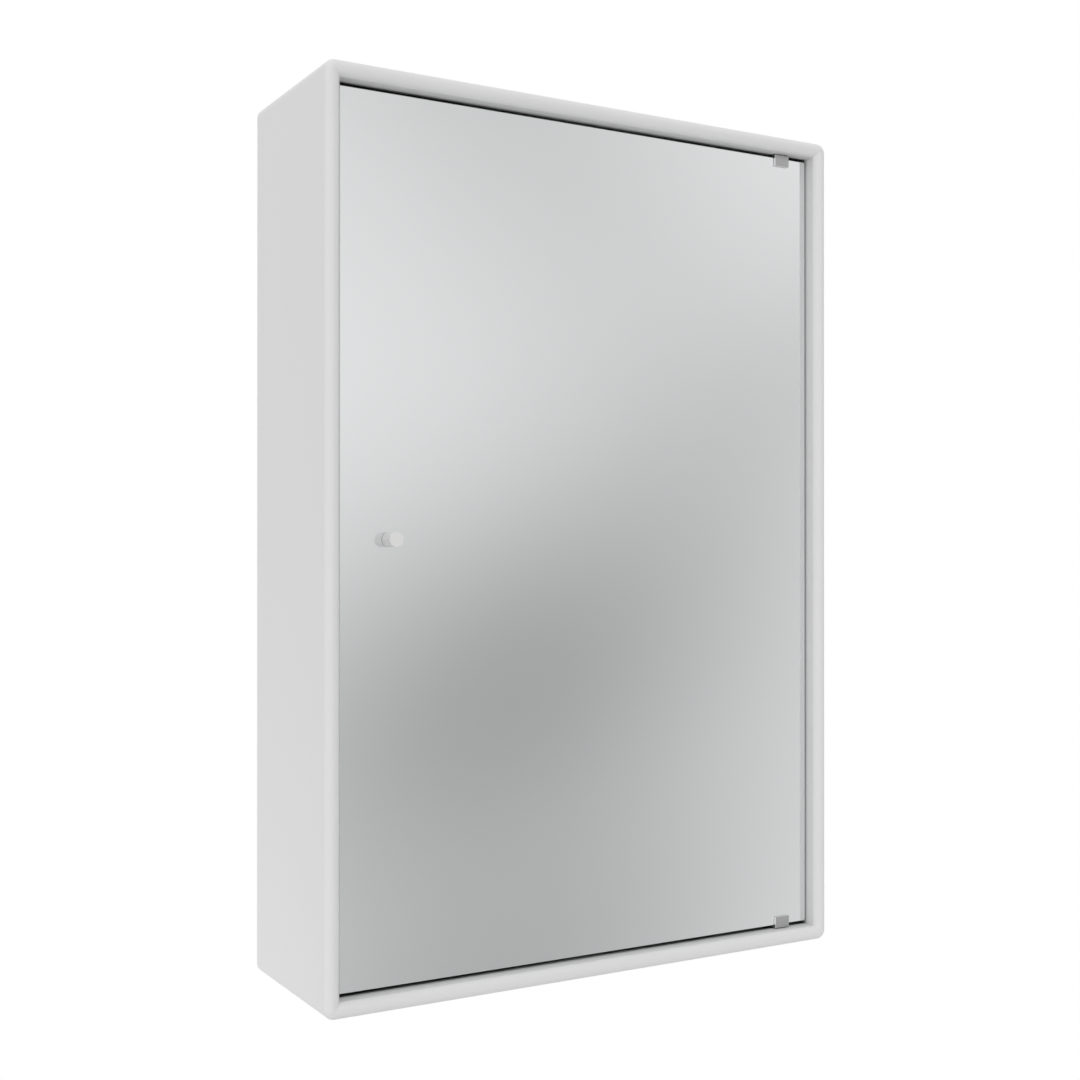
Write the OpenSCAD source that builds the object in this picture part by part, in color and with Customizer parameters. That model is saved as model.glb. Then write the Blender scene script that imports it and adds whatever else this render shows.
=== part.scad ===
// Wall cabinet with a mirror door: a white mitred box with rounded front edges, an inset
// frameless mirror on two pivot clips, a round knob, glass shelves and a hanging rail.
// X runs to the right seen from the front, Y towards the wall and Z up.
// The origin is on the wall plane, midway between the two wall screws.

/* [Cabinet] */
// Overall width
cab_w = 468; // [400:1:620]
// Overall height
cab_h = 696; // [560:1:900]
// Overall depth, from the wall to the front edges
cab_d = 150; // [140:1:200]
// Thickness of the four outer boards
board = 12; // [12:0.5:18]
// Depth of the front edges' rounding, an arc that meets the outer and inner faces at a crease
nose_d = 4.4; // [3:0.1:5]
// Distance of the front edges' crown from the outer face
crown_in = 5.7; // [5.1:0.1:5.9]
// Radius of the four outer corners, seen from the front
corner_r = 8; // [6:0.5:11]
// Radius of the outer rear edges
rear_r = 3; // [1:0.25:4]
// Height of the top face above the line of the wall screws
hang_drop = 62; // [62:1:90]

/* [Back and corner joints] */
// Thickness of the back panel
back_t = 8; // [7:0.5:10]
// Depth of the space behind the back panel
back_recess = 14; // [14:0.5:20]
// Depth of the groove that holds the back panel
groove_d = 6; // [4:0.5:7]
// Thickness of the spline in each mitre
spline_t = 3; // [2:0.5:3.5]
// Width of the spline across each mitre
spline_w = 8; // [6:0.5:9]
// Distance of the spline's middle from the inner faces
spline_in = 5; // [4.5:0.25:5.5]
// Distance of the spline from the front edge
spline_front = 24; // [16:1:40]
// Clearance all round a spline and round the back panel
joint_gap = 0.1; // [0.05:0.05:0.2]

/* [Mirror door] */
// Thickness of the mirror glass
glass_t = 4; // [3:0.5:6]
// Distance of the glass behind the front edges
glass_setback = 13; // [12:0.5:20]
// Gap between the glass and the side panel at its hinges
hinge_gap = 1.5; // [1:0.25:4]
// Gap between the glass and the side panel at the knob
knob_gap = 3.4; // [1.5:0.1:5]
// Gap between the glass and the top and bottom panels
end_gap = 3; // [2.75:0.25:5]
// Bevel along the front edges of the glass
arris = 0.6; // [0.2:0.1:1]
// Thickness of the silvering and its safety film
film_t = 0.3; // [0.2:0.1:0.6]
// Margin of the film inside the edge of the glass
film_margin = 1; // [0.5:0.5:3]

/* [Pivot clips] */
// Distance of the pivot from the right edge of the glass
pivot_inset = 27.5; // [20:0.5:34]
// Width of a clip
clip_w = 15; // [12:0.2:20]
// Thickness of a clip's front plate
clip_front_t = 2; // [1:0.25:3]
// Reach of the front plate down the glass
clip_front_h = 7.4; // [5:0.2:12]
// Thickness of the clip's web past the edge of the glass
clip_web = 2.2; // [1.6:0.1:2.2]
// Thickness of a clip's rear plate
clip_rear_t = 4.5; // [3:0.25:6]
// Reach of the rear plate down the glass
clip_rear_h = 11; // [9:0.5:16]
// Radius of the clip's upright edges
clip_edge_r = 0.5; // [0.3:0.1:0.7]
// Thickness of the pads between clip and glass
pad_t = 0.3; // [0.2:0.1:0.6]
// Gap between the clip's web and the edge of the glass
web_gap = 0.2; // [0.1:0.05:0.4]
// Radius of the lower corners of the front plate
clip_corner_r = 0.8; // [0.4:0.1:1.2]
// Radius of the pivot pins
pivot_r = 2; // [1.5:0.25:2.25]
// Depth of a pin in its bush
pivot_depth = 7.5; // [5:0.5:8]
// Radial running clearance of a pin in its bush
pivot_gap = 0.05; // [0.02:0.01:0.08]
// Outer radius of a bush
bush_r = 3; // [2.75:0.25:3.25]
// Radius of a bush's flange
flange_r = 3.6; // [3.5:0.1:3.8]
// Thickness of a bush's flange
flange_t = 0.5; // [0.3:0.1:0.5]
// Radius of the grub screw that clamps the glass
grub_r = 1.5; // [1.25:0.25:2]
// Distance of the grub screw from the edge of the glass
grub_drop = 5; // [4:0.5:6]

/* [Knob] */
// Diameter of the knob
knob_d = 11.2; // [9:0.1:20]
// Length of the knob
knob_len = 13.7; // [10:0.1:25]
// Distance of the knob from the left edge of the glass
knob_inset = 39.5; // [36:0.1:70]
// Rounding of the knob's front edge
knob_edge_r = 0.3; // [0.2:0.1:1]
// Thickness of the washer under the knob
knob_washer_t = 0.8; // [0.4:0.1:1.5]
// Radius of the knob's screw
screw_r = 2; // [1.5:0.25:2.5]
// Length of the knob's screw inside the knob
screw_in = 7; // [5:0.5:8]
// Clearance between the screw and the hole in the glass
screw_gap = 0.4; // [0.2:0.1:1]

/* [Magnet catch] */
// Width of the catch, out from the side panel
catch_w = 16; // [14:0.5:20]
// Depth of the catch
catch_d = 17; // [16:0.5:22]
// Height of the catch
catch_h = 34; // [32:1:44]
// Gap between the magnet and the strike plate
catch_gap = 0.3; // [0.2:0.1:0.6]
// Width of the magnet
magnet_w = 7; // [5:0.5:8]
// Height of the magnet
magnet_h = 20; // [12:1:24]
// Thickness of the magnet
magnet_t = 3; // [2:0.25:3.5]
// Thickness of the steel strike plate
strike_t = 1; // [0.6:0.1:1.5]
// Thickness of its adhesive pad
strike_pad_t = 0.3; // [0.2:0.1:0.8]

/* [Shelves] */
// Thickness of the glass shelves
shelf_t = 5; // [4:0.5:8]
// Gap between a shelf and each side panel
shelf_side_gap = 1; // [0.9:0.1:2]
// Gap between a shelf and the back panel
shelf_rear_gap = 1; // [0.5:0.5:4]
// Space between a shelf and the edge of the turning door
shelf_door_gap = 3; // [2:0.5:10]
// Radius of the shelf pins' shanks
shelf_pin_r = 2.5; // [2:0.25:3]
// Length of a shank in the side panel
shelf_pin_in = 8; // [6:0.5:9]
// Length of a pin under the shelf
shelf_pin_out = 8; // [6:0.5:12]
// Height of a pin's flat seat above its axis
shelf_pin_seat = 2; // [1.5:0.1:2.2]
// Distance between neighbouring holes for the pins
hole_pitch = 32; // [25:1:32]
// Rounding of a shelf's polished front edge
shelf_edge_r = 1; // [0.5:0.25:1.75]

/* [Hanging rails] */
// Length of the wall rail
wall_rail_w = 380; // [340:5:385]
// Length of the rail on the cabinet
cab_rail_w = 396; // [340:2:396]
// Thickness of both rails
rail_t = 2.5; // [2:0.25:2.5]
// Distance between the two wall screws
wall_screw_span = 320; // [200:5:325]
// Radius of the holes for the wall screws
wall_hole_r = 3; // [2.5:0.25:4]
// Clearance between the two hooked lips
hook_gap = 0.4; // [0.2:0.1:0.6]

/* [Hidden] */
$fn = 64;

// Colours
lacquer = "whitesmoke";
mirror_grey = "lightgray";
steel = "silver";
shelf_glass = "lightcyan";
dark_plastic = "dimgray";
spline_wood = "burlywood";

// Tiny clearance of parts that are pushed, driven or screwed into each other
snug = 0.02;
// How far a cutting shape reaches past the surface it opens
over = 1;

// Cabinet
half_w = cab_w / 2;
z_top = hang_drop;
z_bottom = hang_drop - cab_h;
z_mid = (z_top + z_bottom) / 2;
y_front = -cab_d;
inner_w = cab_w - 2 * board;
inner_h = cab_h - 2 * board;
inner_x = inner_w / 2;
inner_top = z_top - board;
inner_bottom = z_bottom + board;
back_rear_y = -back_recess;
back_front_y = back_rear_y - back_t;
spline_c = board - spline_in;
spline_end_gap = 6;
spline_y0 = y_front + spline_front;
spline_y1 = back_front_y - spline_end_gap;

// Mirror door
glass_left = -inner_x + knob_gap;
glass_right = inner_x - hinge_gap;
glass_w = glass_right - glass_left;
glass_mid = (glass_left + glass_right) / 2;
glass_h = inner_h - 2 * end_gap;
glass_top = z_mid + glass_h / 2;
glass_front_y = y_front + glass_setback;
glass_rear_y = glass_front_y + glass_t;
film_rear_y = glass_rear_y + film_t;
pivot_x = glass_right - pivot_inset;
pivot_y = glass_front_y + glass_t / 2;
knob_x = glass_left + knob_inset;
swing_r = norm([pivot_inset, glass_t / 2 + film_t]);

// Pivot bushes: how far they sit in the board, and the space past the end of the pin
bush_end_gap = 0.5;
bush_floor = 1;
bush_depth = pivot_depth + bush_end_gap + bush_floor;
pin_chamfer = 0.5;
grub_inset = 0.5;
grub_socket_r = 0.9;
grub_socket_depth = 1.5;
pad_margin = 0.5;

// Knob screw: the size of its pan head and socket for each millimetre of its radius
pan_head_wide = 2;
pan_head_high = 1.1;
socket_wide = 0.6;
socket_deep = 0.66;
knob_washer_in = 0.5;
knob_washer_r = knob_d / 2 - knob_washer_in;
pan_head_r = pan_head_wide * screw_r;
pan_head_t = pan_head_high * screw_r;
rear_washer_over = 1;
rear_washer_r = pan_head_r + rear_washer_over;
rear_washer_t = 0.8;
socket_r = socket_wide * screw_r;
socket_depth = socket_deep * screw_r;
knob_hole_end = 1;

// Magnet catch
strike_front_y = film_rear_y + strike_pad_t;
strike_rear_y = strike_front_y + strike_t;
magnet_proud = 0.5;
magnet_y = strike_rear_y + catch_gap;
catch_y = magnet_y + magnet_proud;
catch_x = -inner_x + catch_w / 2;
catch_r = 2;
magnet_shift = 1;
magnet_x = catch_x + magnet_shift;
strike_margin = 1;
strike_over = 3;
strike_w = catch_w - knob_gap - strike_margin;
strike_h = magnet_h + 2 * strike_over;
catch_screw_r = 1.5;
catch_head_r = 2.8;
catch_head_t = 2;
catch_screw_in = 8;
catch_screw_rear = 5.5;
catch_screw_end = 6;
catch_screw_y = catch_y + catch_d - catch_screw_rear;
catch_screw_dz = catch_h / 2 - catch_screw_end;

// Shelves
shelf_front_y = pivot_y + swing_r + shelf_door_gap;
shelf_rear_y = back_front_y - shelf_rear_gap;
shelf_depth = shelf_rear_y - shelf_front_y;
shelf_w = inner_w - 2 * shelf_side_gap;
shelf_count = 3;
shelf_step = inner_h / (shelf_count + 1);
shelf_pin_setin = 14;
shelf_pin_end = 1;
shelf_pin_ys = [shelf_front_y + shelf_pin_setin, shelf_rear_y - shelf_pin_setin];
shelf_pin_body_over = 0.5;
shelf_pin_collar_over = 1.5;
shelf_pin_collar_free = 0.2;
shelf_pin_body_r = shelf_pin_r + shelf_pin_body_over;
shelf_pin_collar_r = shelf_pin_r + shelf_pin_collar_over;
shelf_pin_collar_t = shelf_side_gap - shelf_pin_collar_free;

// Hanging rails
rail_low = 14;
rail_hook_z = 12;
rail_lip_h = 12;
rail_slot = 4;
hook_free = 1.5;
leg_free = 1;
wall_lip_y = -rail_t - rail_slot;
seat_z = rail_hook_z + rail_lip_h;
cab_lip_y = wall_lip_y + hook_gap;
countersink_over = 2;
countersink_r = wall_hole_r + countersink_over;
rail_screw_r = 2;
rail_screw_head_r = 4;
rail_screw_head_t = 2.2;
rail_screw_in = 6;
rail_screw_end = 32;
rail_screw_count = 4;
rail_screw_pitch = (cab_rail_w - 2 * rail_screw_end) / (rail_screw_count - 1);
rail_screw_z = (seat_z + rail_t + inner_top) / 2;

// Height of the underside of shelf number i, counted from the bottom
function shelf_under(i) = inner_bottom + i * shelf_step - shelf_t / 2;

// The sharp corner outside a quarter circle, for rounding a corner at the origin
module corner_cut(r) {
    difference() {
        translate([-over, -over])
            square(r + over);
        translate([r, r])
            circle(r);
    }
}

// The sharp corner outside an arc that starts level and ends at a crease, at the origin
module crease_cut(width, depth) {
    arc_r = (width * width + depth * depth) / (2 * depth);
    difference() {
        translate([-over, -over])
            square([width + over, depth + over]);
        translate([width, arc_r])
            circle(arc_r);
    }
}

// Section of a board from x = 0 to its outer face, with the outer front and rear edges rounded
module outer_section(width) {
    difference() {
        translate([0, y_front])
            square([width, cab_d]);
        translate([width, y_front])
            mirror([1, 0])
                crease_cut(crown_in, nose_d);
        translate([width, 0])
            rotate(180)
                corner_cut(rear_r);
    }
}

// Half-space beyond the mitre at the upper end of a board of this length
module mitre_cut(length) {
    cut = 4 * board;
    translate([0, 0, length / 2])
        rotate([0, 45, 0])
            translate([-cut / 2, y_front - over, 0])
                cube([cut, cab_d + 2 * over, cut]);
}

// Slot for the spline in the mitre at the upper end of a board, or the spline itself
module spline_at(length, gap) {
    translate([spline_c, (spline_y0 + spline_y1) / 2, length / 2 - spline_c])
        rotate([0, 45, 0])
            cube([spline_t + 2 * gap, spline_y1 - spline_y0 + 2 * gap, spline_w + 2 * gap],
                center = true);
}

// One board of the box, upright, with its outer face at x = 0 and its inner face to +X
module edge_board(length) {
    difference() {
        union() {
            translate([board, 0, 0])
                mirror([1, 0, 0])
                    linear_extrude(height = length - 2 * corner_r, center = true)
                        outer_section(board);
            for (end = [0, 1])
                mirror([0, 0, end])
                    translate([corner_r, 0, length / 2 - corner_r])
                        rotate([-90, 180, 0])
                            rotate_extrude(angle = 90)
                                outer_section(corner_r);
        }
        // Inner half of the rounded front edge
        linear_extrude(height = length + 2 * over, center = true)
            translate([board, y_front])
                mirror([1, 0])
                    crease_cut(board - crown_in, nose_d);
        for (end = [0, 1])
            mirror([0, 0, end]) {
                mitre_cut(length);
                spline_at(length, joint_gap);
            }
        // Groove of the back panel
        translate([board - groove_d, back_front_y - joint_gap, -length / 2])
            cube([groove_d + over, back_t + 2 * joint_gap, length]);
    }
}

// Left-hand board in its place, without its holes
module side_board() {
    translate([-half_w, 0, z_mid])
        edge_board(cab_h);
}

// Holes for the shelf pins of the left-hand board, three to a level
module shelf_holes() {
    for (i = [1:shelf_count])
        for (y = shelf_pin_ys)
            for (k = [-1:1])
                translate([-inner_x + over, y, shelf_under(i) - shelf_pin_seat + k * hole_pitch])
                    rotate([0, -90, 0])
                        cylinder(h = shelf_pin_in + shelf_pin_end + over, r = shelf_pin_r + snug);
}

module left_side_panel() {
    color(lacquer)
        difference() {
            side_board();
            shelf_holes();
            for (s = [-1, 1])
                translate([-inner_x + over, catch_screw_y, z_mid + s * catch_screw_dz])
                    rotate([0, -90, 0])
                        cylinder(h = catch_screw_in + over, r = catch_screw_r + snug);
        }
}

module right_side_panel() {
    color(lacquer)
        mirror([1, 0, 0])
            difference() {
                side_board();
                shelf_holes();
            }
}

// Upper board in its place, with the blind hole of the upper bush
module end_board() {
    difference() {
        translate([0, 0, z_top])
            rotate([0, 90, 0])
                edge_board(cab_w);
        translate([pivot_x, pivot_y, inner_top - over])
            cylinder(h = bush_depth + over, r = bush_r + snug);
    }
}

// Turns what is drawn at the top of the cabinet upside down to its bottom
module flip_to_bottom() {
    translate([0, 0, 2 * z_mid])
        mirror([0, 0, 1])
            children();
}

module top_panel() {
    color(lacquer)
        end_board();
}

module bottom_panel() {
    color(lacquer)
        flip_to_bottom()
            end_board();
}

module back_panel() {
    reach = groove_d - joint_gap;
    color(lacquer)
        difference() {
            translate([-inner_x - reach, back_front_y, inner_bottom - reach])
                cube([inner_w + 2 * reach, back_t, inner_h + 2 * reach]);
            rail_screw_places()
                cylinder(h = rail_screw_in + over, r = rail_screw_r + snug);
        }
}

// Four splines, one across each mitre
module mitre_splines() {
    color(spline_wood)
        for (end = [0, 1])
            for (side = [0, 1])
                mirror([side, 0, 0])
                    translate([-half_w, 0, z_mid])
                        mirror([0, 0, end])
                            spline_at(cab_h, 0);
}

// Strip along X from its section in Y and Z, with the outside of its lower front or rear bend
// and of its upper one rounded
module folded_strip(long, lower_bend, upper_bend) {
    rotate([90, 0, 90])
        linear_extrude(height = long, center = true)
            difference() {
                children();
                translate(lower_bend)
                    corner_cut(rail_t);
                translate(upper_bend)
                    rotate(180)
                        corner_cut(rail_t);
            }
}

// Hooked rail on the wall: a flat leg, a web and a lip that stands clear of the wall
module wall_rail() {
    lip_front_y = wall_lip_y - rail_t;
    web_z = rail_hook_z - rail_t;
    color(steel)
        difference() {
            folded_strip(wall_rail_w, [lip_front_y, web_z], [0, rail_hook_z]) {
                translate([-rail_t, -rail_low])
                    square([rail_t, rail_low + rail_hook_z]);
                translate([lip_front_y, web_z])
                    square([-lip_front_y, rail_t]);
                translate([lip_front_y, web_z])
                    square([rail_t, rail_t + rail_lip_h]);
            }
            for (s = [-1, 1])
                translate([s * wall_screw_span / 2, 0, 0])
                    rotate([90, 0, 0]) {
                        translate([0, 0, -over])
                            cylinder(h = rail_t + 2 * over, r = wall_hole_r);
                        translate([0, 0, rail_t - (countersink_r - wall_hole_r) / 2])
                            cylinder(h = countersink_r - wall_hole_r, r1 = wall_hole_r,
                                r2 = wall_hole_r + 2 * (countersink_r - wall_hole_r));
                    }
        }
}

// Matching rail on the cabinet's back, hooked over the lip of the wall rail
module hanging_rail() {
    leg_top = inner_top - leg_free;
    lip_rear_y = cab_lip_y + rail_t;
    lip_low_z = rail_hook_z + hook_free;
    web_top = seat_z + rail_t;
    color(steel)
        difference() {
            folded_strip(cab_rail_w, [back_rear_y, seat_z], [lip_rear_y, web_top]) {
                translate([back_rear_y, seat_z])
                    square([rail_t, leg_top - seat_z]);
                translate([back_rear_y, seat_z])
                    square([lip_rear_y - back_rear_y, rail_t]);
                translate([cab_lip_y, lip_low_z])
                    square([rail_t, web_top - lip_low_z]);
            }
            rail_screw_places()
                translate([0, 0, -rail_t - over])
                    cylinder(h = rail_t + 2 * over, r = rail_screw_r + snug);
        }
}

// Puts a shape at each screw of the hanging rail, with Z into the back panel from its rear face
module rail_screw_places() {
    for (k = [0:rail_screw_count - 1])
        translate([k * rail_screw_pitch + rail_screw_end - cab_rail_w / 2, back_rear_y, rail_screw_z])
            rotate([90, 0, 0])
                children();
}

module hanging_rail_screws() {
    color(steel)
        rail_screw_places() {
            translate([0, 0, -rail_t])
                cylinder(h = rail_t + rail_screw_in, r = rail_screw_r);
            translate([0, 0, -rail_t - rail_screw_head_t])
                difference() {
                    cylinder(h = rail_screw_head_t, r = rail_screw_head_r);
                    translate([0, 0, -over])
                        cylinder(h = over + rail_screw_head_t / 2, r = rail_screw_r, $fn = 6);
                }
        }
}

// Glass shelf number i, counted from the bottom
module shelf(i) {
    color(shelf_glass, 0.5)
        rotate([90, 0, 90])
            linear_extrude(height = shelf_w, center = true)
                translate([shelf_front_y, shelf_under(i)])
                    difference() {
                        square([shelf_depth, shelf_t]);
                        corner_cut(shelf_edge_r);
                        translate([0, shelf_t])
                            mirror([0, 1])
                                corner_cut(shelf_edge_r);
                    }
}

module upper_shelf() {
    shelf(3);
}

module middle_shelf() {
    shelf(2);
}

module lower_shelf() {
    shelf(1);
}

// One shelf pin in the left-hand panel: shank, collar, and a seat cut flat under the shelf
module shelf_pin() {
    rotate([0, -90, 0])
        cylinder(h = shelf_pin_in, r = shelf_pin_r);
    rotate([0, 90, 0])
        cylinder(h = shelf_pin_collar_t, r = shelf_pin_collar_r);
    difference() {
        rotate([0, 90, 0])
            cylinder(h = shelf_pin_out, r = shelf_pin_body_r);
        translate([shelf_pin_collar_t, -shelf_pin_body_r, shelf_pin_seat])
            cube([shelf_pin_out, 2 * shelf_pin_body_r, shelf_pin_body_r]);
    }
}

module shelf_pins() {
    color(steel)
        for (side = [0, 1])
            mirror([side, 0, 0])
                for (i = [1:shelf_count])
                    for (y = shelf_pin_ys)
                        translate([-inner_x, y, shelf_under(i) - shelf_pin_seat])
                            shelf_pin();
}

// Flanged blind bush in the upper board, open downwards
module pivot_bush() {
    translate([pivot_x, pivot_y, inner_top])
        difference() {
            union() {
                cylinder(h = bush_depth, r = bush_r);
                translate([0, 0, -flange_t])
                    cylinder(h = flange_t, r = flange_r);
            }
            translate([0, 0, -flange_t - over])
                cylinder(h = flange_t + over + bush_depth - bush_floor, r = pivot_r + pivot_gap);
        }
}

module upper_pivot_bush() {
    color(dark_plastic)
        pivot_bush();
}

module lower_pivot_bush() {
    color(dark_plastic)
        flip_to_bottom()
            pivot_bush();
}

// Rectangle round its middle with rounded corners
module rounded_rect(w, h, r) {
    square([w - 2 * r, h], center = true);
    square([w, h - 2 * r], center = true);
    for (x = [-1, 1])
        for (y = [-1, 1])
            translate([x * (w / 2 - r), y * (h / 2 - r)])
                circle(r);
}

module catch_housing() {
    color(lacquer)
        difference() {
            translate([catch_x, catch_y + catch_d / 2, z_mid])
                rotate([0, 90, 0])
                    linear_extrude(height = catch_w, center = true)
                        rounded_rect(catch_h, catch_d, catch_r);
            translate([magnet_x, catch_y, z_mid])
                cube([magnet_w + 2 * snug, 2 * (magnet_t - magnet_proud), magnet_h + 2 * snug],
                    center = true);
            for (s = [-1, 1])
                translate([-inner_x - over, catch_screw_y, z_mid + s * catch_screw_dz])
                    rotate([0, 90, 0]) {
                        cylinder(h = catch_w + 2 * over, r = catch_screw_r + snug);
                        translate([0, 0, catch_w + over - catch_head_t])
                            cylinder(h = catch_head_t + over, r = catch_head_r + 2 * snug);
                    }
        }
}

module catch_magnet() {
    color(dark_plastic)
        translate([magnet_x, magnet_y + magnet_t / 2, z_mid])
            cube([magnet_w, magnet_t, magnet_h], center = true);
}

module catch_screws() {
    color(steel)
        for (s = [-1, 1])
            translate([-inner_x + catch_w, catch_screw_y, z_mid + s * catch_screw_dz])
                rotate([0, -90, 0])
                    difference() {
                        union() {
                            cylinder(h = catch_w + catch_screw_in, r = catch_screw_r);
                            cylinder(h = catch_head_t, r = catch_head_r);
                        }
                        translate([0, 0, -over])
                            cylinder(h = over + catch_head_t / 2, r = catch_screw_r, $fn = 6);
                    }
}

// Mirror glass with its front edges bevelled and a hole for the knob's screw
module mirror_glass() {
    bevel = arris * sqrt(2);
    color(mirror_grey)
        difference() {
            translate([glass_left, glass_front_y, z_mid - glass_h / 2])
                cube([glass_w, glass_t, glass_h]);
            for (s = [-1, 1]) {
                translate([glass_mid + s * glass_w / 2, glass_front_y, z_mid])
                    rotate([0, 0, 45])
                        cube([bevel, bevel, glass_h + 2 * over], center = true);
                translate([glass_mid, glass_front_y, z_mid + s * glass_h / 2])
                    rotate([45, 0, 0])
                        cube([glass_w + 2 * over, bevel, bevel], center = true);
            }
            knob_hole();
        }
}

// Hole for the knob's screw, through the glass and its film
module knob_hole() {
    translate([knob_x, glass_front_y - over, z_mid])
        rotate([-90, 0, 0])
            cylinder(h = glass_t + film_t + 2 * over, r = screw_r + screw_gap);
}

module mirror_backing() {
    film_w = glass_w - 2 * film_margin;
    film_h = glass_h - 2 * film_margin;
    color(dark_plastic)
        difference() {
            translate([glass_left + film_margin, glass_rear_y, z_mid - film_h / 2])
                cube([film_w, film_t, film_h]);
            knob_hole();
        }
}

// Front and rear faces of the clips' plates, from the pivot's axis
plate_front_y = -glass_t / 2 - pad_t - clip_front_t;
plate_back_y = glass_t / 2 + film_t + pad_t;

// Puts a shape at the upper pivot, on the top edge of the glass
module at_pivot() {
    translate([pivot_x, pivot_y, glass_top])
        children();
}

// Clip folded over the edge of the glass, with a bore for the pin and one for the grub screw
module hinge_clip() {
    depth = plate_back_y + clip_rear_t - plate_front_y;
    high = clip_web + max(clip_front_h, clip_rear_h);
    at_pivot()
        difference() {
            translate([0, plate_front_y + depth / 2, clip_web - high])
                linear_extrude(height = high)
                    rounded_rect(clip_w, depth, clip_edge_r);
            // Slot for the glass
            translate([-clip_w / 2 - over, -glass_t / 2 - pad_t, -high])
                cube([clip_w + 2 * over, glass_t + film_t + 2 * pad_t, high + web_gap]);
            // Front plate shorter than the rear one, or the other way round
            translate([-clip_w / 2 - over, plate_front_y - over, -high])
                cube([clip_w + 2 * over, clip_front_t + 2 * over, high - clip_front_h]);
            translate([-clip_w / 2 - over, plate_back_y - over, -high])
                cube([clip_w + 2 * over, clip_rear_t + 2 * over, high - clip_rear_h]);
            for (s = [0, 1])
                mirror([s, 0, 0])
                    translate([-clip_w / 2, plate_front_y - over, -clip_front_h])
                        rotate([-90, 0, 0])
                            mirror([0, 1, 0])
                                linear_extrude(height = clip_front_t + 2 * over)
                                    corner_cut(clip_corner_r);
            cylinder(h = clip_web + over, r = pivot_r + snug / 2);
            translate([0, plate_back_y - over, -grub_drop])
                rotate([-90, 0, 0])
                    cylinder(h = clip_rear_t + 2 * over, r = grub_r + snug);
        }
}

module upper_hinge_clip() {
    color(steel)
        hinge_clip();
}

module lower_hinge_clip() {
    color(steel)
        flip_to_bottom()
            hinge_clip();
}

// Pin from the web of the clip into its bush, with a bevelled tip
module pivot_pin() {
    tip = end_gap + pivot_depth;
    at_pivot() {
        translate([0, 0, web_gap])
            cylinder(h = tip - pin_chamfer - web_gap, r = pivot_r);
        translate([0, 0, tip - pin_chamfer])
            cylinder(h = pin_chamfer, r1 = pivot_r, r2 = pivot_r - pin_chamfer);
    }
}

module upper_pivot_pin() {
    color(steel)
        pivot_pin();
}

module lower_pivot_pin() {
    color(steel)
        flip_to_bottom()
            pivot_pin();
}

// Grub screw in a clip's rear plate, with its tip on the pad and a socket in its end
module clip_screw() {
    long = clip_rear_t - grub_inset;
    at_pivot()
        translate([0, plate_back_y, -grub_drop])
            rotate([-90, 0, 0])
                difference() {
                    cylinder(h = long, r = grub_r);
                    translate([0, 0, long - grub_socket_depth])
                        cylinder(h = grub_socket_depth + over, r = grub_socket_r, $fn = 6);
                }
}

module clip_screws() {
    color(dark_plastic) {
        clip_screw();
        flip_to_bottom()
            clip_screw();
    }
}

// Pad of a clip: its front or rear side and its reach down the glass
module clip_pad(y, reach) {
    at_pivot()
        translate([-clip_w / 2 + pad_margin, y, -reach + pad_margin])
            cube([clip_w - 2 * pad_margin, pad_t, reach - 2 * pad_margin - film_margin]);
}

module clip_front_pads() {
    color(lacquer) {
        clip_pad(-glass_t / 2 - pad_t, clip_front_h);
        flip_to_bottom()
            clip_pad(-glass_t / 2 - pad_t, clip_front_h);
    }
}

module clip_rear_pads() {
    color(lacquer) {
        clip_pad(glass_t / 2 + film_t, clip_rear_h);
        flip_to_bottom()
            clip_pad(glass_t / 2 + film_t, clip_rear_h);
    }
}

// Puts a shape on the knob's axis, with Z out of the front of the glass
module at_knob() {
    translate([knob_x, glass_front_y, z_mid])
        rotate([90, 0, 0])
            children();
}

// Plain cylinder with a softened front edge and a blind hole for its screw
module knob() {
    color(lacquer)
        at_knob()
            translate([0, 0, knob_washer_t])
                difference() {
                    rotate_extrude()
                        difference() {
                            square([knob_d / 2, knob_len]);
                            translate([knob_d / 2, knob_len])
                                rotate(180)
                                    corner_cut(knob_edge_r);
                        }
                    translate([0, 0, -over])
                        cylinder(h = screw_in + knob_hole_end + over, r = screw_r + snug);
                }
}

module knob_washer() {
    color(lacquer)
        at_knob()
            difference() {
                cylinder(h = knob_washer_t, r = knob_washer_r);
                translate([0, 0, -over])
                    cylinder(h = knob_washer_t + 2 * over, r = screw_r + snug);
            }
}

module knob_rear_washer() {
    color(dark_plastic)
        at_knob()
            translate([0, 0, -glass_t - film_t - rear_washer_t])
                difference() {
                    cylinder(h = rear_washer_t, r = rear_washer_r);
                    translate([0, 0, -over])
                        cylinder(h = rear_washer_t + 2 * over, r = screw_r + snug);
                }
}

// Screw from the back of the glass into the knob, with a socket in its head
module knob_screw() {
    head_z = -glass_t - film_t - rear_washer_t - pan_head_t;
    color(steel)
        at_knob()
            difference() {
                union() {
                    translate([0, 0, head_z])
                        cylinder(h = pan_head_t, r = pan_head_r);
                    translate([0, 0, head_z])
                        cylinder(h = knob_washer_t + screw_in - head_z, r = screw_r);
                }
                translate([0, 0, head_z - over])
                    cylinder(h = over + socket_depth, r = socket_r, $fn = 6);
            }
}

// Steel plate on the back of the glass, opposite the magnet
module strike_plate() {
    color(steel)
        translate([glass_left + strike_margin, strike_front_y, z_mid - strike_h / 2])
            cube([strike_w, strike_t, strike_h]);
}

module strike_pad() {
    color(dark_plastic)
        translate([glass_left + strike_margin, film_rear_y, z_mid - strike_h / 2])
            cube([strike_w, strike_pad_t, strike_h]);
}

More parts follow.
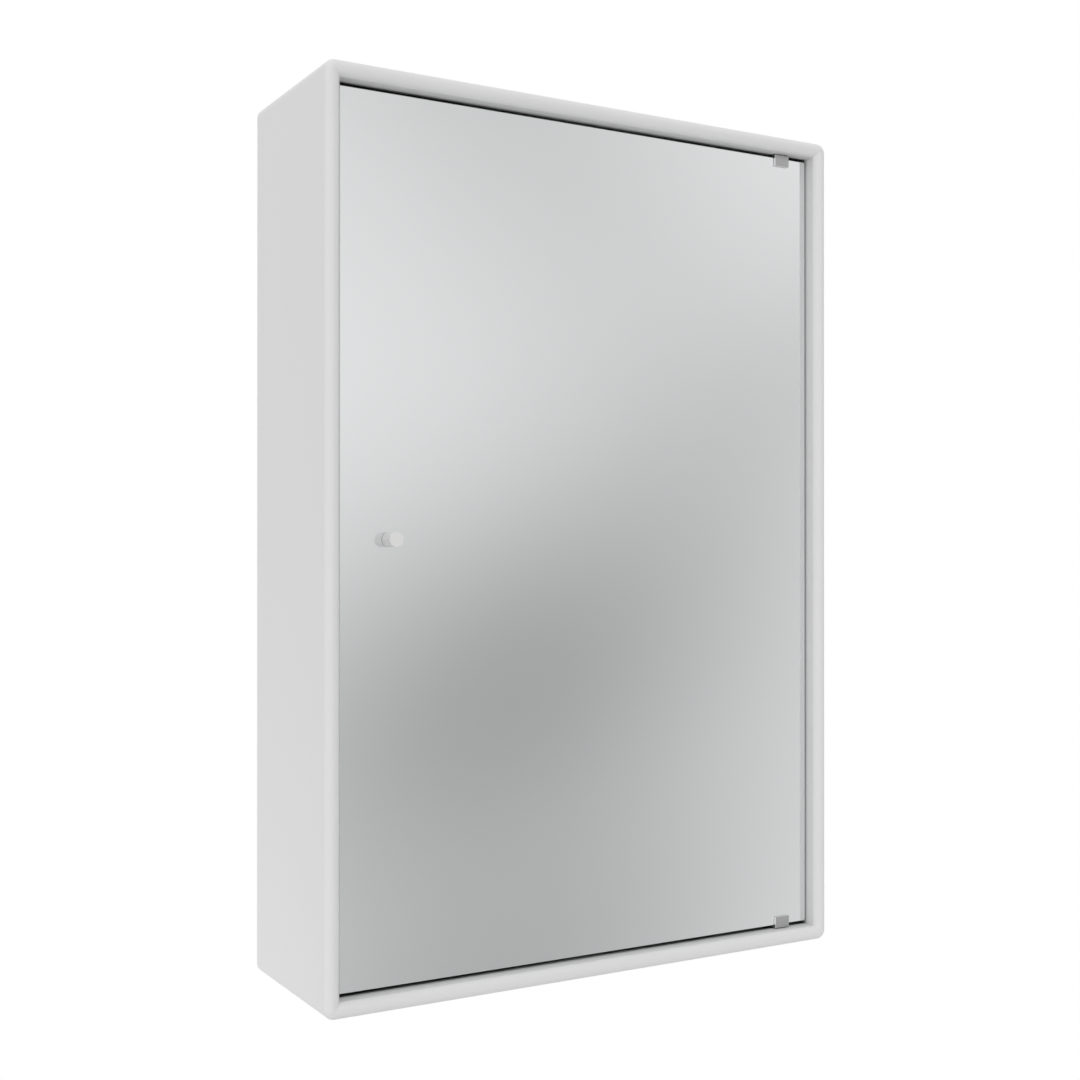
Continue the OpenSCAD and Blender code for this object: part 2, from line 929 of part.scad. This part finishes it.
left_side_panel();
right_side_panel();
top_panel();
bottom_panel();
back_panel();
mitre_splines();
wall_rail();
hanging_rail();
hanging_rail_screws();
upper_shelf();
middle_shelf();
lower_shelf();
shelf_pins();
upper_pivot_bush();
lower_pivot_bush();
catch_housing();
catch_magnet();
catch_screws();
mirror_glass();
mirror_backing();
upper_hinge_clip();
lower_hinge_clip();
upper_pivot_pin();
lower_pivot_pin();
clip_screws();
clip_front_pads();
clip_rear_pads();
knob();
knob_washer();
knob_screw();
knob_rear_washer();
strike_plate();
strike_pad();
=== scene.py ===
# Bathroom mirror cabinet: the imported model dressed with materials, in a plain pale studio.
# Lengths are in metres, in the frame of the model: X to the right, Y to the wall, Z up.
import math

import bpy
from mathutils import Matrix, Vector


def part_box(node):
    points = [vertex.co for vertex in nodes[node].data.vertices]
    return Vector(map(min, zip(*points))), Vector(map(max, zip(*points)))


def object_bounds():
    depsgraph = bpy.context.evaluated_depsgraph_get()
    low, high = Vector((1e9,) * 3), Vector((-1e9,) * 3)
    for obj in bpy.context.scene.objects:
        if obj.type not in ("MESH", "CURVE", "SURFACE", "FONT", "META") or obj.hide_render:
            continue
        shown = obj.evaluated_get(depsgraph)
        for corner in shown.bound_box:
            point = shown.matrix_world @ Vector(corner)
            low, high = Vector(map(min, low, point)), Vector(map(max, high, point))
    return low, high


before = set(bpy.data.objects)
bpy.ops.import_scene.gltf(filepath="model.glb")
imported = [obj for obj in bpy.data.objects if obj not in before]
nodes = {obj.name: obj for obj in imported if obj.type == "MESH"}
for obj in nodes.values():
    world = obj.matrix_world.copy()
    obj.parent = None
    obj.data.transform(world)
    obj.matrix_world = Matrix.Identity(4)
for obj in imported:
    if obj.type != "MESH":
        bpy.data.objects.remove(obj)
cad_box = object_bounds()
MM = 0.001

# Painted shade: the white lacquer's colour is darkened to near black inside the closed box and in the gap
# round its door, where shade falls.
# How much of the surroundings is free, by ambient occlusion, decides it: the lacquer is painted dark below
# the first share, and keeps its white above the second
CLOSED_WITHIN = 0.25  # a space is closed where something stands in every direction within this
FREE_INSIDE = (0.04, 0.2)
GAP_PAINTED_SHADE = (15.5 * MM, 25 * MM)  # the gap can be dark this far behind the front edges
GAP_WITHIN = 20 * MM  # the gap is narrow where the door stands within this
FREE_OF_DOOR = (0.75, 0.9)
FREE_IN_FRONT = (0.17, 0.23)  # beside the door, of what is free within CLOSED_WITHIN
# A door piece's edges and bevels face the front by less than the first share of their normal
FRONT_SHARE = (0.78, 0.95)

# Camera: its place, where it looks, and its focal length on this width of sensor in mm
SENSOR = 36.0
CAMERA_AT = Vector((-0.63686, -1.15302, -0.29466))
CAMERA_YAW = math.radians(29.95)
CAMERA_PITCH = math.radians(0.14)
LENS = 49.6
SHIFT = (0.0027, 0.0069)

# Studio
FLOOR_BELOW = 1.2
FLOOR_RADIUS = 2.2
FLOOR_SIDES = 64
FLOOR_FADE = (0.5, 0.98)  # shares of the radius between which the floor fades out
CARD_Y = -3.0
CARD_SIZE = (14.0, 9.0)
CARD_TONE = 0.83
CARD_EDGE = 0.55  # share of the card's half size from which it brightens to white
# Soft dark areas of the studio behind the camera, by where the camera sees them in the
# mirror: strength, place on the mirror (x, z), radii there, and turn in degrees
CARD_SHADES = (
    (0.31, (-0.095, -0.383), (0.276, 0.137), 21),
    (0.38, (-0.096, -0.686), (0.354, 0.222), 41),
    (0.16, (0.449, -0.034), (0.369, 0.101), 25),
    (0.27, (-0.315, 0.400), (0.172, 0.700), 37),
)
WHITE = (1.0, 1.0, 1.0, 1.0)
# Soft lights all round: where each one stands, how closely it is gathered, and its strength
STUDIO_LIGHTS = (
    ((0.0, 0.0, 1.0), 1, 0.86),
    ((0.0, 0.0, -1.0), 1, 0.56),
    ((-1.0, 0.0, 0.0), 1, 0.61),
    ((0.0, -0.8, 0.6), 6, 0.25),
    ((0.0, -1.0, 0.0), 8, 1.71),
)
# Small lamp low on the left, which makes the side a little brighter towards its foot
LAMP_AT = Vector((-0.52, 0.0, -0.75))
LAMP_SIZE = 0.2
LAMP_WATTS = 0.12


def feed(tree, socket, value):
    """Links a socket to a node's output, or sets its value."""
    if isinstance(value, bpy.types.NodeSocket):
        tree.links.new(value, socket)
    else:
        socket.default_value = value


def add(tree, kind, inputs=None, **settings):
    """A new shader node with these settings, and these inputs linked or set."""
    made = tree.nodes.new("ShaderNode" + kind)
    for name, value in settings.items():
        setattr(made, name, value)
    for name, value in (inputs or {}).items():
        feed(tree, made.inputs[name], value)
    return made


def math_node(tree, operation, a, b=0.0):
    """The output of a Math node."""
    return add(tree, "Math", {0: a, 1: b}, operation=operation).outputs[0]


def place(tree):
    """Coordinates in the frame of the model, in metres."""
    return add(tree, "TexCoord").outputs["Object"]


def noise(tree, vector, size, detail=2.0, roughness=0.5):
    """Noise from 0 to 1 with features of this size in metres."""
    inputs = {"Vector": vector, "Scale": 1 / size, "Detail": detail, "Roughness": roughness}
    return add(tree, "TexNoise", inputs).outputs["Fac"]


def stretched(tree, vector, scale):
    """Coordinates scaled along each axis, for grain that runs one way."""
    return add(tree, "Mapping", {"Vector": vector, "Scale": scale}).outputs["Vector"]


def between(tree, factor, low, high):
    """Maps a factor from 0 to 1 on a range of values."""
    return add(tree, "MapRange", {"Value": factor, "To Min": low, "To Max": high}).outputs["Result"]


def ramp(tree, value, ends):
    """Zero below the first end, one above the second, and even between them."""
    inputs = {"Value": value, "From Min": ends[0], "From Max": ends[1]}
    return add(tree, "MapRange", inputs).outputs["Result"]


def tint(tree, factor, low, high):
    """Mixes two colours by a factor from 0 to 1."""
    mixed = add(tree, "Mix", {"Factor": factor}, data_type="RGBA")
    feed(tree, mixed.inputs[6], low)
    feed(tree, mixed.inputs[7], high)
    return mixed.outputs[2]


def bump(tree, height, distance, strength=1.0):
    """A normal from a height from 0 to 1, where 1 is this distance in metres."""
    inputs = {"Height": height, "Distance": distance, "Strength": strength}
    return add(tree, "Bump", inputs).outputs["Normal"]


def facing_front(tree):
    """One on faces that look to the front or the back, and zero on the edges and bevels between them."""
    normal = add(tree, "SeparateXYZ", {0: add(tree, "TexCoord").outputs["Normal"]}).outputs["Y"]
    return ramp(tree, math_node(tree, "ABSOLUTE", normal), FRONT_SHARE)


def free_of_painted_shade(tree):
    """Mask for the painted shade, from ambient occlusion: zero deep inside a closed space and in the
    narrow gap round the closed door, where the lacquer is painted near black, and one wherever a surface
    sees a little of what is outside."""
    seen = add(tree, "AmbientOcclusion", {"Distance": CLOSED_WITHIN}, samples=32).outputs["AO"]
    outside = ramp(tree, seen, FREE_INSIDE)
    in_view = ramp(tree, seen, FREE_IN_FRONT)
    near = add(tree, "AmbientOcclusion", {"Distance": GAP_WITHIN}).outputs["AO"]
    free = ramp(tree, near, FREE_OF_DOOR)
    depth = add(tree, "SeparateXYZ", {0: place(tree)}).outputs["Y"]
    start, end = GAP_PAINTED_SHADE
    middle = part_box("left_side_panel")[0].y + (start + end) / 2
    inputs = {0: depth, 1: middle, 2: (end - start) / 2}
    beside_door = add(tree, "Math", inputs, operation="COMPARE").outputs[0]
    clear_of_gap = math_node(tree, "SUBTRACT", 1.0, beside_door)
    for reason in (free, in_view):
        clear_of_gap = math_node(tree, "MAXIMUM", clear_of_gap, reason)
    return math_node(tree, "MINIMUM", outside, clear_of_gap)


def grey(level, warm=0.0):
    """A grey colour, warmer or cooler by a small share."""
    return (level * (1 + warm), level, level * (1 - warm), 1.0)


def principled(name, **inputs):
    """A new material with one Principled shader, its tree and that shader."""
    material = bpy.data.materials.new(name)
    material.use_nodes = True
    tree = material.node_tree
    shader = tree.nodes["Principled BSDF"]
    for key, value in inputs.items():
        shader.inputs[key.replace("_", " ")].default_value = value
    return material, tree, shader


def lacquer(name, level, gloss, warm=0.0, painted_shade_inside=False):
    """Sprayed lacquer: faint orange peel, with the gloss and tone a little uneven. Painted shade can be
    added: the base colour turns near black inside the closed box and in the narrow gap round the door."""
    material, tree, shader = principled(name, IOR=1.5)
    here = place(tree)
    clouds = noise(tree, here, 90 * MM, 3.0)
    peel = noise(tree, here, 1.6 * MM, 1.0)
    dust = noise(tree, here, 0.35 * MM, 2.0)
    tone = tint(tree, clouds, grey(level * 0.985, warm), grey(level * 1.015, warm))
    if painted_shade_inside:
        # Painted shade: the tone turns near black where the surface is closed in
        tone = tint(tree, free_of_painted_shade(tree), grey(0.03), tone)
    feed(tree, shader.inputs["Base Color"], tone)
    uneven = math_node(tree, "ADD", clouds, math_node(tree, "MULTIPLY", dust, 0.5))
    feed(tree, shader.inputs["Roughness"], between(tree, uneven, gloss - 0.04, gloss + 0.05))
    relief = math_node(tree, "ADD", peel, math_node(tree, "MULTIPLY", dust, 0.15))
    feed(tree, shader.inputs["Normal"], bump(tree, relief, 0.012 * MM, 0.6))
    return material


def silvered(name):
    """Mirror silvering under its glass, with the faintest unevenness, and ground glass edges."""
    material, tree, shader = principled(name, IOR=1.5)
    here = place(tree)
    haze = noise(tree, here, 60 * MM, 2.0)
    dust = noise(tree, here, 0.8 * MM, 3.0)
    front = facing_front(tree)
    silver = tint(tree, haze, (0.908, 0.921, 0.926, 1), (0.918, 0.931, 0.936, 1))
    ground = tint(tree, dust, (0.66, 0.69, 0.68, 1), (0.74, 0.77, 0.76, 1))
    feed(tree, shader.inputs["Base Color"], tint(tree, front, ground, silver))
    feed(tree, shader.inputs["Metallic"], front)
    both = math_node(tree, "MULTIPLY", math_node(tree, "ADD", haze, dust), 0.5)
    polished = between(tree, both, 0.03, 0.07)
    matt = between(tree, dust, 0.25, 0.4)
    feed(tree, shader.inputs["Roughness"], between(tree, front, matt, polished))
    return material


def metal(name, level, rough, grain, warm=0.0, spread=0.12, edge_highlight_level=None):
    """Metal with grain that runs along the axis with the smallest scale. Its edges and bevels can be given
    a brighter colour, both for polished edges and as a painted highlight of the light falling on them.
    """
    material, tree, shader = principled(name, Metallic=1.0)
    here = place(tree)
    lines = noise(tree, stretched(tree, here, grain), 1 * MM, 3.0)
    patches = noise(tree, here, 7 * MM, 3.0)
    both = math_node(tree, "MULTIPLY", math_node(tree, "ADD", lines, patches), 0.5)
    tone = tint(tree, both, grey(level * (1 - spread), warm), grey(level * (1 + spread), warm))
    # Painted highlight on edges and bevels, partly for their polish and partly for how the light falls on
    # them
    if edge_highlight_level:
        edge = tint(tree, both, grey(edge_highlight_level * 0.97, warm), grey(edge_highlight_level * 1.03, warm))
        tone = tint(tree, facing_front(tree), edge, tone)
    feed(tree, shader.inputs["Base Color"], tone)
    feed(tree, shader.inputs["Roughness"], between(tree, both, rough - 0.08, rough + 0.08))
    feed(tree, shader.inputs["Normal"], bump(tree, lines, 0.006 * MM, 0.5))
    return material


def galvanised(name):
    """Hot-dip zinc with its crystals, each with its own tone and gloss."""
    material, tree, shader = principled(name, Metallic=1.0)
    here = place(tree)
    crystals = add(tree, "TexVoronoi", {"Vector": here, "Scale": 1 / (9 * MM), "Randomness": 1.0})
    shade = add(tree, "SeparateColor", {"Color": crystals.outputs["Color"]}).outputs["Red"]
    fine = noise(tree, here, 1.2 * MM, 4.0)
    coarse = math_node(tree, "MULTIPLY", shade, 0.7)
    both = math_node(tree, "ADD", coarse, math_node(tree, "MULTIPLY", fine, 0.3))
    tone = tint(tree, both, (0.46, 0.48, 0.50, 1), (0.68, 0.70, 0.72, 1))
    feed(tree, shader.inputs["Base Color"], tone)
    feed(tree, shader.inputs["Roughness"], between(tree, both, 0.28, 0.48))
    feed(tree, shader.inputs["Normal"], bump(tree, fine, 0.02 * MM, 0.4))
    return material


def moulded(name, low, high, rough):
    """Moulded plastic with a fine spark-eroded texture."""
    material, tree, shader = principled(name, IOR=1.46)
    here = place(tree)
    pits = noise(tree, here, 0.3 * MM, 3.0)
    clouds = noise(tree, here, 12 * MM, 2.0)
    feed(tree, shader.inputs["Base Color"], tint(tree, clouds, low, high))
    feed(tree, shader.inputs["Roughness"], between(tree, pits, rough - 0.06, rough + 0.08))
    feed(tree, shader.inputs["Normal"], bump(tree, pits, 0.02 * MM, 0.5))
    return material


def clear_glass(name, low, high):
    """Float glass, a little green where the light has a long way through it."""
    material, tree, shader = principled(name, IOR=1.52, Transmission_Weight=1.0)
    here = place(tree)
    clouds = noise(tree, here, 80 * MM, 2.0)
    smears = noise(tree, stretched(tree, here, (1, 1, 4)), 25 * MM, 4.0)
    feed(tree, shader.inputs["Base Color"], tint(tree, clouds, low, high))
    feed(tree, shader.inputs["Roughness"], between(tree, smears, 0.0, 0.05))
    return material


def film(name):
    """Safety film over the grey protective paint of a mirror's back, with a fine woven print."""
    material, tree, shader = principled(name, IOR=1.48)
    here = place(tree)
    clouds = noise(tree, here, 45 * MM, 3.0)
    fine = noise(tree, here, 0.7 * MM, 3.0)
    tone = tint(tree, clouds, (0.50, 0.52, 0.535, 1), (0.56, 0.58, 0.595, 1))
    feed(tree, shader.inputs["Base Color"], tone)
    feed(tree, shader.inputs["Roughness"], between(tree, fine, 0.34, 0.5))
    feed(tree, shader.inputs["Normal"], bump(tree, fine, 0.02 * MM, 0.35))
    return material


def plywood(name):
    """Birch ply: thin layers along the spline, with pores."""
    material, tree, shader = principled(name, IOR=1.45, Roughness=0.7)
    here = place(tree)
    fibres = noise(tree, stretched(tree, here, (1, 0.05, 1)), 0.8 * MM, 4.0)
    tone = tint(tree, fibres, (0.55, 0.38, 0.22, 1), (0.76, 0.60, 0.40, 1))
    feed(tree, shader.inputs["Base Color"], tone)
    feed(tree, shader.inputs["Normal"], bump(tree, fibres, 0.05 * MM, 0.5))
    return material


def ferrite(name):
    """Sintered magnet: dark, grainy and a little shiny."""
    material, tree, shader = principled(name, IOR=1.9)
    grains = noise(tree, place(tree), 0.25 * MM, 5.0)
    tone = tint(tree, grains, (0.035, 0.036, 0.04, 1), (0.10, 0.10, 0.11, 1))
    feed(tree, shader.inputs["Base Color"], tone)
    feed(tree, shader.inputs["Roughness"], between(tree, grains, 0.4, 0.65))
    feed(tree, shader.inputs["Normal"], bump(tree, grains, 0.03 * MM, 0.6))
    return material


SLOTS = {
    # White lacquer with painted shade inside the closed box and in the gap round the door
    "white_lacquer": lacquer("lacquer_white", 0.80, 0.36, painted_shade_inside=True),
    "knob_lacquer": lacquer("lacquer_knob", 0.80, 0.32, 0.004),
    "mirror_silver": silvered("mirror_silvered"),
    # Satin clips whose edges carry a brighter colour: polished edges and a painted highlight
    "clip_metal": metal("clip_satin", 0.50, 0.34, (0.1, 1, 1), edge_highlight_level=0.95),
    "screw_steel": metal("steel_zinc_plated", 0.62, 0.3, (1, 1, 1), 0.01),
    "galvanised_steel": galvanised("steel_galvanised"),
    "shelf_glass": clear_glass("glass_clear", (0.90, 0.96, 0.93, 1), (0.92, 0.97, 0.945, 1)),
    "dark_plastic": moulded("plastic_dark", (0.05, 0.052, 0.055, 1), (0.07, 0.072, 0.075, 1), 0.5),
    "white_plastic": moulded("plastic_white", (0.74, 0.74, 0.73, 1), (0.78, 0.78, 0.77, 1), 0.42),
    "safety_film": film("film_safety"),
    "plywood": plywood("ply_birch"),
    "magnet_ferrite": ferrite("ferrite_dark"),
}
for node in nodes.values():
    for slot in node.material_slots:
        slot.material = SLOTS[slot.material.name]


def make_camera():
    """Camera at the photograph's place, level but for a trace of pitch."""
    data = bpy.data.cameras.new("camera")
    data.sensor_width = SENSOR
    data.lens = LENS
    data.shift_x, data.shift_y = SHIFT
    camera = bpy.data.objects.new("camera", data)
    camera.location = CAMERA_AT
    camera.rotation_euler = (math.pi / 2 + CAMERA_PITCH, 0.0, -CAMERA_YAW)
    bpy.context.scene.collection.objects.link(camera)
    bpy.context.scene.camera = camera


def shown_plain(tree):
    """One where the camera, a reflection or a look through glass meets the surface, and zero
    where the ray comes from a matt surface and so only brings light."""
    rays = add(tree, "LightPath")
    either = math_node(tree, "MAXIMUM", rays.outputs["Is Camera Ray"], rays.outputs["Is Glossy Ray"])
    either = math_node(tree, "MAXIMUM", either, rays.outputs["Is Transmission Ray"])
    direct = math_node(tree, "LESS_THAN", rays.outputs["Diffuse Depth"], 0.5)
    return math_node(tree, "MULTIPLY", either, direct)


def make_world():
    """White behind everything; as light it is the sum of the soft studio lights."""
    world = bpy.data.worlds.new("studio")
    bpy.context.scene.world = world
    world.use_nodes = True
    tree = world.node_tree
    tree.nodes.clear()
    direction = add(tree, "TexCoord").outputs["Generated"]
    level = 0.0
    for stand, gathered, strength in STUDIO_LIGHTS:
        near = add(tree, "VectorMath", {0: direction, 1: stand}, operation="DOT_PRODUCT").outputs["Value"]
        near = math_node(tree, "POWER", math_node(tree, "MAXIMUM", near, 0.0), gathered)
        level = math_node(tree, "ADD", level, math_node(tree, "MULTIPLY", near, strength))
    ambient = add(tree, "Background", {"Color": WHITE, "Strength": level}).outputs[0]
    plain = add(tree, "Background", {"Color": WHITE, "Strength": 1.0}).outputs[0]
    both = add(tree, "MixShader", {0: shown_plain(tree), 1: ambient, 2: plain}).outputs[0]
    tree.links.new(both, add(tree, "OutputWorld").inputs["Surface"])


def shade(tree, where, strength, centre, radii, turn):
    """Strength of a soft elliptical patch, falling off evenly to nothing."""
    moved = add(tree, "VectorMath", {0: where, 1: centre}, operation="SUBTRACT").outputs[0]
    turned = add(tree, "VectorRotate", {"Vector": moved, "Angle": turn}, rotation_type="Y_AXIS").outputs[0]
    narrow = (1 / radii[0], 0.0, 1 / radii[1])
    scaled = add(tree, "VectorMath", {0: turned, 1: narrow}, operation="MULTIPLY").outputs[0]
    squared = add(tree, "VectorMath", {0: scaled, 1: scaled}, operation="DOT_PRODUCT").outputs["Value"]
    fall = math_node(tree, "POWER", math.e, math_node(tree, "MULTIPLY", squared, -1.0))
    return math_node(tree, "MULTIPLY", fall, strength)


def make_card():
    """Backdrop behind the camera, which only reflections show, with soft dark areas."""
    low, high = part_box("mirror_glass")
    reach = (low.y - CARD_Y) / (low.y - CAMERA_AT.y)
    width, height = CARD_SIZE
    mesh = bpy.data.meshes.new("card")
    ends = ((-1, -1), (1, -1), (1, 1), (-1, 1))
    corners = [(x * width / 2, CARD_Y, z * height / 2) for x, z in ends]
    mesh.from_pydata(corners, [], [(0, 1, 2, 3)])
    card = bpy.data.objects.new("card", mesh)
    bpy.context.scene.collection.objects.link(card)
    material = bpy.data.materials.new("card")
    material.use_nodes = True
    tree = material.node_tree
    tree.nodes.clear()
    where = place(tree)
    halves = (2 / width, 0.0, 2 / height)
    across = add(tree, "VectorMath", {0: where, 1: halves}, operation="MULTIPLY").outputs[0]
    out = add(tree, "VectorMath", {0: across}, operation="LENGTH").outputs["Value"]
    inputs = {"Value": out, "From Min": CARD_EDGE, "From Max": 1.0, "To Min": 1 - CARD_TONE, "To Max": 0.0}
    total = add(tree, "MapRange", inputs, interpolation_type="SMOOTHSTEP").outputs["Result"]
    for strength, (x, z), radii, turn in CARD_SHADES:
        centre = (x + reach * (x - CAMERA_AT.x), CARD_Y, z + reach * (z - CAMERA_AT.z))
        on_card = [r * (1 + reach) for r in radii]
        patch = shade(tree, where, strength, centre, on_card, math.radians(turn))
        total = math_node(tree, "ADD", total, patch)
    tone = math_node(tree, "SUBTRACT", 1.0, total)
    glow = add(tree, "Emission", {"Color": WHITE, "Strength": tone}).outputs[0]
    clear = add(tree, "BsdfTransparent").outputs[0]
    both = add(tree, "MixShader", {0: shown_plain(tree), 1: clear, 2: glow}).outputs[0]
    tree.links.new(both, add(tree, "OutputMaterial").inputs["Surface"])
    mesh.materials.append(material)
    card.visible_camera = False
    card.visible_diffuse = False
    card.visible_transmission = False
    card.visible_shadow = False


def make_floor():
    """Pale floor far below the cabinet, fading into the white round it."""
    low = cad_box[0]
    mesh = bpy.data.meshes.new("floor")
    turns = [2 * math.pi * k / FLOOR_SIDES for k in range(FLOOR_SIDES)]
    ring = [(FLOOR_RADIUS * math.cos(turn), FLOOR_RADIUS * math.sin(turn), 0.0) for turn in turns]
    mesh.from_pydata(ring, [], [tuple(range(FLOOR_SIDES))])
    floor = bpy.data.objects.new("floor", mesh)
    floor.location = (0.0, 0.0, low.z - FLOOR_BELOW)
    bpy.context.scene.collection.objects.link(floor)
    material, tree, shader = principled("floor", Roughness=0.8)
    shader.inputs["Base Color"].default_value = grey(0.85)
    here = place(tree)
    away = add(tree, "VectorMath", {0: here}, operation="LENGTH").outputs["Value"]
    start, end = [share * FLOOR_RADIUS for share in FLOOR_FADE]
    inputs = {"Value": away, "From Min": start, "From Max": end}
    fade = add(tree, "MapRange", inputs, interpolation_type="SMOOTHSTEP").outputs["Result"]
    clear = add(tree, "BsdfTransparent").outputs[0]
    both = add(tree, "MixShader", {0: fade, 1: shader.outputs[0], 2: clear}).outputs[0]
    tree.links.new(both, tree.nodes["Material Output"].inputs["Surface"])
    mesh.materials.append(material)


def make_lamp():
    """Lamp that faces the left side, seen only by what it lights."""
    data = bpy.data.lights.new("lamp", "AREA")
    data.shape = "SQUARE"
    data.size = LAMP_SIZE
    data.energy = LAMP_WATTS
    lamp = bpy.data.objects.new("lamp", data)
    lamp.location = LAMP_AT
    aim = Vector((cad_box[0].x, LAMP_AT.y, cad_box[0].z + LAMP_SIZE))
    lamp.rotation_euler = (aim - LAMP_AT).to_track_quat("-Z", "Y").to_euler()
    lamp.visible_camera = False
    lamp.visible_glossy = False
    lamp.visible_transmission = False
    bpy.context.scene.collection.objects.link(lamp)


make_camera()
make_world()
make_card()
make_floor()
make_lamp()
bpy.context.scene.view_settings.view_transform = "Standard"
